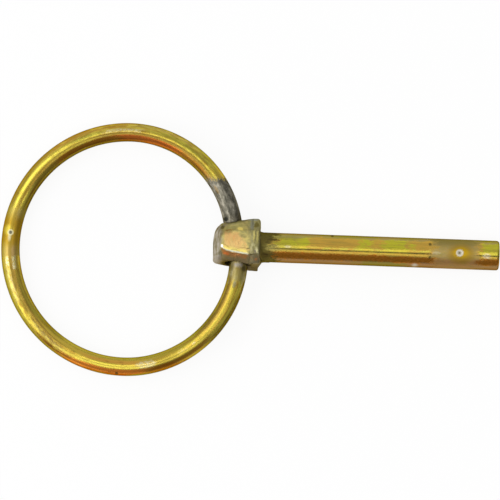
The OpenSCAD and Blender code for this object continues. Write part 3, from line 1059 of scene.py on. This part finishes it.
def shankCoat(paint, spec, where, noises):  # the shank's colour, and where it is dull
    u, v, w, front = where
    streaks, clouds, blots, specks, dashes = noises
    strips = spec["strips"]
    along = u.shake((blots, 9), (specks, 2))
    across = v.shake((blots, 1.2), (specks, 0.5))

    # Strips along the shank, from the top down: the plating, with painted tones and a painted dark
    # line where its two highlights fall.
    greenish = sum(along.band(*row) for row in spec["greenZones"]) + along.rise(*spec["greenTip"])
    patch = paint.coats(
        "patch",
        (greenish, "green", 0.9),
        (blots.rise(0.5, 0.66), "gold", 0.5),
        (streaks.fall(0.35, 0.5), "olive", 0.4),
    )
    edge = (across + u.fall(12, 16) * 0.45).rise(*spec["upperEdge"]) * front
    edgeTone = paint.mix(clouds.rise(0.4, 0.6), "mossy", "ash")
    shineTone = paint.mix(dashes.rise(0.4, 0.6), "amber", "lemon")
    shineTone = paint.mix(greenish * 0.4, shineTone, "green")
    # a painted dark reflection line between the shank's two highlights
    line = v.shake((streaks, 0.14)).band(*strips["line"]) * front
    shade = across.band(-0.75, 0.75, 0.25) * 0.35 + across.band(1.7, 2.5, 0.2) * 0.4
    rusty = paint.mix(specks.rise(0.42, 0.64), "brown", "orange")
    lowTone = paint.mix(along.band(26, 37, 1.5), "pink", "olive")
    color = paint.coats(
        paint.mix(clouds.rise(0.35, 0.65), "gold", "tan"),
        (across.band(*strips["upper"]) * front, patch, 1),
        (edge, edgeTone, 0.85),
        # the shine and amber rows paint the highlights' band dimmer and in dashes, the lower one
        # dimmer still; the olive row paints shade over it near the root
        (across.band(*strips["shine"]) * front, shineTone, 0.9),
        (line * (0.65 + blots * 0.4), "grime", 1),
        (across.band(*strips["amber"]) * front, "amber", 0.75),
        (u.fall(*spec["shadedRoot"]) * front * shade, "olive", 1),
        (across.band(*strips["under"]) * front, rusty, 1),
        (across.fall(*spec["lowerEdge"]) * front, lowTone, 0.85),
    )

    # The matte zone, with the contact mark and its halo.
    matte = u.shake((blots, 7), (specks, 3)).band(*spec["matte"]) * front
    matteTone = paint.coats(
        paint.mix(across.fall(-1.6, -0.7), "matteTan", "matteLow"),
        (specks.rise(0.46, 0.62), "patch", 0.3),
        (blots.fall(0.38, 0.5), "mossy", 0.35),
    )
    contact = spec["contact"]
    atU, atV = spec["contactAt"]
    haloU = (u.shake((blots, 1)) - atU - 0.3) * 0.75
    wavy = (specks - 0.5) * 0.5
    color = paint.coats(
        color,
        (matte, matteTone, 0.95),
        (matte * across.rise(1.2, 2.4), "olive", 0.7),
        (paint.spot(haloU, v, (0, atV - 0.3), contact["aura"], 0.7) * front, "brass", 0.75),
        (paint.spot(haloU, v, (0, atV), contact["halo"], 0.45) * front, "halo", 0.9),
        (paint.spot(u + wavy, v + wavy, (atU, atV), contact["mark"], 0.2) * front, "pale", 0.95),
        (paint.spot(u + wavy, v - wavy, (atU, atV), contact["pit"], 0.2) * front, "skin", 0.8),
        (paint.spot(u, v, (atU, atV), contact["dot"], 0.1) * front, "grime", 1),
    )

    # Grime at the root with painted shade and sheen, small spots, painted glints, and the tip with
    # painted shade on its edge.
    root = (u - v.math("ABSOLUTE") * 0.75).shake((blots, 7), (specks, 3)).fall(*spec["rootGrime"])
    # the root's grime, darker on its upper side as painted shade
    rootGrimeAndShade = paint.mix(blots.fall(0.32, 0.5) + v.rise(0.4, 2) * 0.4, "rootOlive", "grime")
    # a paler strip along the root's top, where its grime is thin and a painted highlight falls
    rootPale = u.shake((blots, 6)).band(*spec["rootPale"]) * across.band(-0.7, 0.7, 0.3) * front
    color = paint.coats(color, (root, rootGrimeAndShade, 0.94), (rootPale, "rootPale", 0.6))
    for centre, radius in spec["darkSpots"]:
        spot = paint.spot(u, v, centre, radius, 0.2) * w.rise(0.4, 0.9)
        color = paint.mix(spot * 0.8, color, "grime")
    centre = (spec["paleSpot"][0] * 0.6, spec["paleSpot"][1])
    color = paint.mix(paint.spot(u * 0.6, v, centre, 0.3, 0.3) * front * 0.6, color, "pale")
    for centre, half, strength in spec["glints"]:
        glint = paint.daub(u.shake((blots, 1)), v, centre, half) * front * specks.rise(0.35, 0.55)
        color = paint.mix(glint * strength, color, "pale")
    tipTone = paint.mix(blots.rise(0.4, 0.6), "gold", "patch")
    color = paint.mix(u.rise(*spec["tipFace"]), color, tipTone)
    # painted shade along the tip's rounded edge
    color = paint.mix(u.band(*spec["tipShade"]) * front * 0.35, color, "grime")
    return color, matte, root


def headCoat(paint, spec, where, noises):  # the head's colour, and where its edge is worn and painted bright as a highlight
    u, v, w, front = where
    specks, lumps, grey, patina = noises
    ragU = u.shake((patina, 1.1), (specks, 0.5))
    ragV = v.shake((lumps, 0.9), (specks, 0.5))
    edgeAway = v - wornEdge(u, spec["facet"], Term.power)
    onFlat = w.rise(3.3, 3.9)

    # The front flat, golden in its middle, with the bevel above it.
    bevel = (v - u * 0.3).band(2.6, 5, 0.5) * ragU.band(-3, 2.3, 0.4) * w.rise(2, 3)
    bevelTone = paint.mix(patina.rise(0.45, 0.6) * 0.6, "flatYellow", "moss")
    flat = ragU.band(-3.1, 2.9, 0.3) * (ragV - u * 0.1).fall(2.7, 3.4)
    flat = flat * edgeAway.rise(-0.1, 0.1) * onFlat
    flatTone = paint.mix(patina.rise(0.42, 0.6), "flatYellow", "moss")
    gold = ragU.rise(-3, -2.5) * ragV.fall(2.6, 3.4) * (ragU + ragV * 0.73).fall(1.5, 2.9)
    gold = gold * (ragV + u * 0.147).rise(-0.8, -0.2) * onFlat
    goldTone = paint.coats(
        paint.mix((ragV + u * 0.2).fall(0, 2.2), "flat", "flatPale"),
        (lumps.rise(0.45, 0.62), "flatYellow", 0.35),
        (grey.fall(0.36, 0.48), "redBrown", 0.3),
    )
    ragged = edgeAway.shake((specks, 0.5))
    strip = ragged.rise(-0.03, 0.2) * ragged.fall(0.3, 1.1) * ragU.band(-3, 2.2, 0.3) * onFlat
    groove = spec["groove"]
    arc = (ragU - groove["middle"][0]).apart(ragV - groove["middle"][1])
    arc = arc.band(groove["radius"] - 0.2, groove["radius"] + 0.2, 0.22)
    skin = paint.coats(
        paint.mix(lumps.rise(0.38, 0.6), "skin", "moss"),
        (patina.rise(0.5, 0.66), "olive", 0.6),
        (bevel, bevelTone, 0.8),
        (flat, flatTone, 0.9),
        (gold * (0.95 - patina.rise(0.55, 0.7) * 0.5), goldTone, 1),
        (strip * (0.95 - patina.rise(0.5, 0.62) * 0.45), "strip", 1),
        (arc * u.rise(1.1, 1.6) * v.rise(1.2, 2) * front, "arc", 0.7),
    )

    # The band below the flat, the end's face, the underside and the collar.
    # a red-brown band below the flat, painted as the reflection seen there, mottled
    sunk = edgeAway.shake((lumps, 0.5), (specks, 0.2))
    reflectionBand = sunk.rise(-1.75, -0.75) * sunk.fall(-0.4, -0.12)
    reflectionBand = reflectionBand * ragU.band(-3.2, 2.5, 0.4) * w.rise(1.6, 2.4)
    lowTone = paint.mix(patina.rise(0.35, 0.7), "redBrown", "rustLow")
    end = (u - v.fall(-2.6, -0.8) * 0.5).fall(-4, -3.1) * (1 - flat)
    endTone = paint.mix(grey.rise(0.34, 0.64), "skin", "endSkin")
    endTone = paint.mix(ragU.fall(-4.95, -4.7) * 0.4, endTone, "grime")
    below = ragV.fall(-2.6, -1.9) * (1 - reflectionBand) * u.fall(2.4, 3.2)
    belowTone = paint.mix(ragU.fall(-4.9, -2.6), "dun", "endSkin")
    collar = ragU.rise(2.2, 2.9)
    collarTone = paint.mix(grey.rise(0.42, 0.6), "collar", "moss")
    cornerTone = paint.mix(patina.rise(0.42, 0.6), "dun", "skin")
    skin = paint.coats(
        skin,
        (reflectionBand, lowTone, 0.9),
        (end, endTone, 0.9),
        (below, belowTone, 0.8),
        (collar, collarTone, 0.8),
        (collar * ragV.fall(-2.3, -0.8), cornerTone, 0.8),
        # painted shade beside the lower socket's mouth, below the collar
        (v.fall(-4.6, -3.6) * u.rise(2.2, 3), "peat", 0.6),
    )
    for name, centre, half, lean, strength in spec["headDaubs"]:
        daub = paint.daub(ragU, ragV, centre, half, lean) * front
        skin = paint.mix(daub * strength, skin, name)

    # The worn edge painted bright as a highlight, brightest at its ends, and painted shade in the
    # sockets' mouths.
    wornHighlight = edgeAway.shake((specks, 0.2)).band(-0.17, 0.13, 0.09)
    wornHighlight = wornHighlight * u.band(-3.5, 2.45, 0.15) * w.rise(3, 3.6)
    skin = paint.mix(wornHighlight * (0.25 + patina.rise(0.4, 0.6) * 0.35), skin, "bright")
    for centre, half, strength in spec["edgeHighlightEnds"]:
        endHighlight = paint.daub(u, v, centre, half) * w.rise(2.6, 3.2)
        skin = paint.mix(endHighlight * strength, skin, "bright")
    mouth = u.apart(w).fall(2.7, 3.5) * v.math("ABSOLUTE").rise(2.5, 3.5)
    return paint.mix(mouth * 0.7, skin, "grime"), wornHighlight


def paintPin(spec):
    paint = Paint(bpy.data.materials.new("platedForging"), spec["colors"])
    layer = paint.layer("place")
    noises = [paint.grain(layer, *row) for row in spec["noises"].values()]
    streaks, clouds, blots, specks, dashes, fine, tiny, lumps, grey, patina = noises
    u, v, w = paint.split(layer)
    where = (u, v, w, w.rise(*spec["upperSide"]))
    color, matte, root = shankCoat(paint, spec, where, (streaks, clouds, blots, specks, dashes))
    skin, wornHighlight = headCoat(paint, spec, where, (specks, lumps, grey, patina))
    onHead = u.fall(*spec["headStop"])
    dull = matte.upTo(root * 0.8).upTo(onHead * (0.6 - wornHighlight * 0.4))
    rough = 0.15 + streaks * 0.1 + dull * 0.3 + tiny * 0.06
    height = fine * 0.6 + tiny * 0.6 + dull * (blots + specks) * 1.2 + onHead * specks * 1.5
    return paint.metal(spec, paint.mix(onHead, color, skin), rough, height)


pinForging = makePin(pin)
pinForging.data.materials.append(paintPin(pin))
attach(pinForging, "pin")
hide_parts("pin")
print("pin made")
